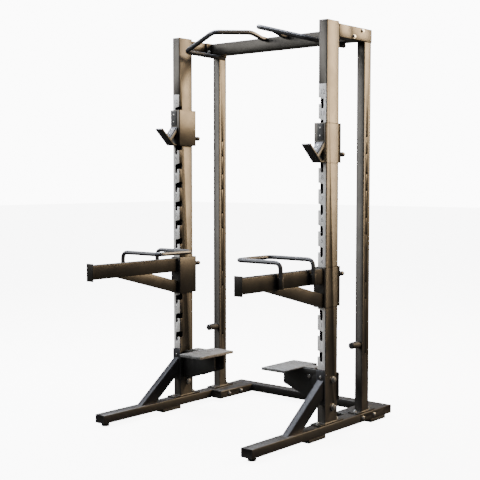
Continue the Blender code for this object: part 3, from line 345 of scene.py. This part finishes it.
def weld_bead(bm, path, radius, seed):
    """A welded fillet: a bead along a path, with the ripples of its passes."""
    points = [Vector(p) for p in path]
    loops = []
    for start, end in zip(points, points[1:]):
        span = end - start
        count = max(2, int(span.length / 0.004))
        turn = span.to_track_quat("Z", "Y")
        for k in range(count + 1):
            ripple = 1 + 0.12 * math.cos(math.pi * k) + 0.06 * math.sin(seed + 2.7 * k)
            r = radius * ripple
            centre = start + span * (k / count)
            loops.append([bm.verts.new(centre + turn @ Vector((r * math.cos(math.pi * j / 3),
                                                               r * math.sin(math.pi * j / 3), 0)))
                          for j in range(6)])
        for low, high in zip(loops[-count - 1:], loops[-count:]):
            for j in range(6):
                bm.faces.new((low[j], low[(j + 1) % 6], high[(j + 1) % 6], high[j]))
        bm.faces.new(loops[-1])
        bm.faces.new(tuple(reversed(loops[-count - 1])))


# Painted steel

for side in SIDES:
    for node in ("front_post", "rear_post", "top_arm", "rear_stub"):
        skin(f"{node}_{side}", PAINT, 0.0006)
    skin(f"base_rail_{side}", BASE_PAINT, 0.0008)
    skin(f"brace_{side}", BRACE_PAINT, 0.0010)
    skin(f"step_bracket_{side}", HOOK_PAINT, 0.0010)
    paint_node(f"pull_up_handle_{side}", BRACE_PAINT)
    paint_node(f"dip_handle_{side}", BRACE_PAINT)
    skin(f"spotter_{side}_arm", PAINT, 0.0008)
    for group in ("bar_hook", "spotter"):
        skin(f"{group}_{side}_carrier", PAINT, 0.0008)
        paint_node(f"{group}_{side}_liner", PLASTIC)
    skin(f"bar_hook_{side}_cradle", HOOK_PAINT, 0.0010)
    skin(f"bar_hook_{side}_face_pad", PAD, 0.0006)
    skin(f"bar_hook_{side}_seat_pad", SEAT, 0.0008)
    skin(f"number_strip_{side}", FILM, 0.0002)
    skin(f"step_platform_{side}", TREAD, 0.0010)
    for node in ("front_foot", "middle_foot", "rear_foot", "band_peg"):
        skin(f"{node}_{side}", RUBBER, 0.0012)
    for node in ("upper_bolt", "lower_bolt", "step_pivot"):
        skin(f"{node}_{side}", ZINC, 0.0006)
skin("rear_base", BASE_PAINT, 0.0008)
skin("crossbeam", PAINT, 0.0008)


# Knobs

def knob(node, body):
    """A fluted knob on its steel plunger, standing for the plain pin."""
    low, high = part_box(node)
    x, z = (low.x + high.x) / 2, (low.z + high.z) / 2
    length, radius = high.y - low.y, (high.x - low.x) / 2
    grip = 0.034
    placement = frame_along(Vector((x, low.y, z)), (0, 1, 0))
    bm = bmesh.new()
    start = length - grip
    lathe(bm, [(0, start - 0.002), (radius * 0.62, start - 0.002), (radius * 0.66, start + 0.002),
               (radius * 0.94, start + 0.004), (radius, start + 0.007), (radius, length - 0.008),
               (radius * 0.93, length - 0.003), (radius * 0.72, length - 0.0006),
               (radius * 0.40, length), (0, length)], placement, 48, 8, 0.0016)
    grip_piece = piece(node + "_knob", bm, PLASTIC, body, 50)
    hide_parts(node)
    bm = bmesh.new()
    lathe(bm, [(0, 0), (0.0052, 0), (0.0060, 0.0012), (0.0060, start - 0.001), (0, start - 0.001)],
          placement, 20)
    piece(node + "_plunger", bm, ZINC, body)


for side in SIDES:
    knob(f"bar_hook_{side}_pin", f"bar_hook_pin_{side}")
    knob(f"spotter_{side}_pin", f"spotter_pin_{side}")
    knob(f"step_pin_{side}", f"step_lock_{side}")


# Fasteners

def base_fasteners(side, sign):
    rail_outer = HALF_SPAN + 0.038
    bm = bmesh.new()
    for y in (0.361, 0.476):
        bolt(bm, at(sign * rail_outer, y, -0.024), (sign, 0, 0), 0.017, 0.007, 0.0110)
        inner = HALF_SPAN - 0.038 - 0.0763
        bolt(bm, at(sign * inner, y, -0.024), (-sign, 0, 0), 0.017, 0.008, 0.0110, 0.004)
    piece(f"splice_bolts_{side}", bm, ZINC, "root")
    bm = bmesh.new()
    for y in (-0.032, 0.146, 0.336, 0.466):
        bolt(bm, at(sign * HALF_SPAN, y, 0.008), (0, 0, 1), 0.017, 0.007, 0.0115, 0.003)
    piece(f"foot_plate_bolts_{side}", bm, ZINC, "root")
    bm = bmesh.new()
    for z in (0.263, 0.148):
        button_head(bm, at(sign * HALF_SPAN, -0.0063, z), (0, -1, 0), 0.008)
    button_head(bm, at(sign * (HALF_SPAN + HALF_POST), 0.006, 0.276), (sign, 0, 0), 0.004)
    piece(f"brace_screws_{side}", bm, ZINC, "root")


def top_fasteners(side, sign):
    outer = HALF_SPAN + HALF_POST
    inner = HALF_SPAN - HALF_POST - 0.0083
    bm = bmesh.new()
    for y, z in ((0.256, 2.134), (0.341, 2.173)):
        bolt(bm, at(sign * outer, y, z), (sign, 0, 0), 0.017, 0.007, 0.0115)
        bolt(bm, at(sign * inner, y, z), (-sign, 0, 0), 0.017, 0.008, 0.0115, 0.004)
    piece(f"flange_bolts_{side}", bm, ZINC, "root")


HOOK_SCREW = 0.0055      # the screws' head radius
SEAT_SLOPE = 1.12        # the hook's seat, rise over run


def hook_fasteners(side, sign):
    """The face pad's two screws and the seat pad's two."""
    low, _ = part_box(f"bar_hook_{side}_carrier")
    pad_low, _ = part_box(f"bar_hook_{side}_face_pad")
    bm = bmesh.new()
    for height in (0.186, 0.144):
        button_head(bm, Vector((sign * HALF_SPAN, pad_low.y, low.z + height)), (0, -1, 0),
                    HOOK_SCREW)
    seat_low, seat_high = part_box(f"bar_hook_{side}_seat_pad")
    normal = Vector((0, -SEAT_SLOPE, 1)).normalized()
    for share in (0.34, 0.68):
        y = seat_high.y + (seat_low.y - seat_high.y) * share
        z = low.z + 0.112 - SEAT_SLOPE * (0.0019 - y) + 0.0053 * 1.50
        button_head(bm, Vector((sign * HALF_SPAN, y, z)), normal, HOOK_SCREW)
    piece(f"hook_screws_{side}", bm, ZINC, f"bar_hook_{side}")


for side, sign in SIDES.items():
    base_fasteners(side, sign)
    top_fasteners(side, sign)
    hook_fasteners(side, sign)


# Numbers on the strips

def numbers(side, sign):
    low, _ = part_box(f"number_strip_{side}")
    parts = bmesh.new()
    for k in range(12):
        text = bpy.data.curves.new("digits", "FONT")
        text.body = str(12 - k)
        text.size = 0.034
        text.align_x = "CENTER"
        text.align_y = "CENTER"
        text.extrude = 0.0001
        text.offset = 0.0004
        holder = bpy.data.objects.new("digits", text)
        bpy.context.scene.collection.objects.link(holder)
        bpy.context.view_layer.update()
        mesh = bpy.data.meshes.new_from_object(
            holder.evaluated_get(bpy.context.evaluated_depsgraph_get()))
        top = 1.777 - 0.1148 * k
        place = at(sign * (HALF_SPAN + 0.002), 0, top + 0.036)
        place.y = low.y - 0.0002
        mesh.transform(Matrix.Translation(place) @ Matrix.Rotation(math.radians(90), 4, "X"))
        parts.from_mesh(mesh)
        bpy.data.objects.remove(holder, do_unlink=True)
        bpy.data.meshes.remove(mesh)
        bpy.data.curves.remove(text)
    piece(f"numbers_{side}", parts, INK, "root")


for side, sign in SIDES.items():
    numbers(side, sign)


# Welds

WELD_RADIUS = 0.0022
FOOT_PLATE_TOP = 0.008                   # above the rail
FRONT_POST_REACH = (0, 0.115)            # front and back faces, behind the front posts' fronts
REAR_POST_REACH = (0.3675, 0.4375)


def foot_weld(bm, middle, half, reach, seed):
    """A bead round the foot of a post."""
    front, back = reach
    corners = [at(middle - half, front, FOOT_PLATE_TOP), at(middle + half, front, FOOT_PLATE_TOP),
               at(middle + half, back, FOOT_PLATE_TOP), at(middle - half, back, FOOT_PLATE_TOP)]
    weld_bead(bm, [*corners, corners[0]], WELD_RADIUS, seed)


def welds(side, sign):
    """The beads at the feet of one side's two posts."""
    bm = bmesh.new()
    foot_weld(bm, sign * HALF_SPAN, HALF_POST, FRONT_POST_REACH, 1.0)
    foot_weld(bm, sign * HALF_SPAN, HALF_REAR_POST, REAR_POST_REACH, 2.0)
    piece(f"foot_welds_{side}", bm, BASE_PAINT, "root")


for side, sign in SIDES.items():
    welds(side, sign)


# Floor, backdrop, lights and camera

def flat(name, corners, material):
    mesh = bpy.data.meshes.new(name)
    mesh.from_pydata(corners, [], [tuple(range(len(corners)))])
    mesh.materials.append(material)
    made = bpy.data.objects.new(name, mesh)
    bpy.context.scene.collection.objects.link(made)
    return made


def floor_material():
    n = Nodes("studio_floor")
    colour = n.ramp(n.noise(0.6, 2.0), [(0.3, (0.90, 0.90, 0.90)), (0.7, (0.92, 0.92, 0.92))])
    roughness = n.ramp(n.noise(5.0), [(0.3, 0.80), (0.7, 0.90)])
    normal = n.bump(n.noise(30.0), 0.0002, 0.1)
    return n.done(colour, roughness, normal, Emission_Color=(1, 1, 1, 1), Emission_Strength=8.0)


floor = flat("floor", [(-40, -40, 0), (40, -40, 0), (40, 40, 0), (-40, 40, 0)], floor_material())
floor.visible_glossy = False
floor.visible_diffuse = False


def studio_world():
    """White behind the object, and a soft grey room for everything it reflects."""
    world = bpy.data.worlds.new("studio")
    world.use_nodes = True
    tree = world.node_tree
    tree.nodes.clear()
    new, link = tree.nodes.new, tree.links.new
    direction = new("ShaderNodeTexCoord").outputs["Generated"]
    split = new("ShaderNodeSeparateXYZ")
    link(direction, split.inputs[0])
    height = new("ShaderNodeMapRange")
    height.inputs["From Min"].default_value = -1
    link(split.outputs["Z"], height.inputs["Value"])
    ramp = new("ShaderNodeValToRGB")
    stops = ((0.0, (0.035, 0.033, 0.030)), (0.46, (0.060, 0.057, 0.052)),
             (0.60, (0.15, 0.15, 0.15)), (1.0, (0.35, 0.36, 0.38)))
    while len(ramp.color_ramp.elements) < len(stops):
        ramp.color_ramp.elements.new(0.5)
    for element, (position, colour) in zip(ramp.color_ramp.elements, stops):
        element.position = position
        element.color = (*colour, 1)
    link(height.outputs["Result"], ramp.inputs["Fac"])
    room = new("ShaderNodeBackground")
    link(ramp.outputs["Color"], room.inputs["Color"])
    room.inputs["Strength"].default_value = 1.6
    white = new("ShaderNodeBackground")
    white.inputs["Color"].default_value = (1, 1, 1, 1)
    white.inputs["Strength"].default_value = 11
    seen = new("ShaderNodeMixShader")
    link(new("ShaderNodeLightPath").outputs["Is Camera Ray"], seen.inputs["Fac"])
    link(room.outputs[0], seen.inputs[1])
    link(white.outputs[0], seen.inputs[2])
    link(seen.outputs[0], new("ShaderNodeOutputWorld").inputs["Surface"])
    bpy.context.scene.world = world


def softbox(name, place, target, size, watts, colour):
    light = bpy.data.lights.new(name, "AREA")
    light.shape = "RECTANGLE"
    light.size, light.size_y = size
    light.energy = watts
    light.color = colour
    made = bpy.data.objects.new(name, light)
    made.location = place
    made.rotation_euler = (Vector(target) - Vector(place)).to_track_quat("-Z", "Y").to_euler()
    made.visible_camera = False
    bpy.context.scene.collection.objects.link(made)


studio_world()
softbox("warm_side", (4.2, 5.2, 3.9), (0.3, 0.0, 1.5), (3.6, 3.2), 740, (1.0, 0.73, 0.43))
softbox("front_left", (-3.8, -4.6, 3.6), (0.0, 0.0, 1.5), (4.2, 2.8), 165, (1.0, 1.0, 0.97))
softbox("overhead", (-1.6, 0.3, 4.6), (0.0, 0.0, 0.3), (3.2, 3.2), 540, (0.88, 0.92, 1.0))

AZIMUTH = math.radians(40.242)
PITCH = math.radians(3.557)
camera_data = bpy.data.cameras.new("camera")
camera_data.lens = 73.99
camera_data.sensor_width = 36.0
camera = bpy.data.objects.new("camera", camera_data)
camera.location = (3.6596, -4.3478, 1.4171)
camera.rotation_euler = (math.pi / 2 - PITCH, 0, AZIMUTH)
bpy.context.scene.collection.objects.link(camera)
bpy.context.scene.camera = camera
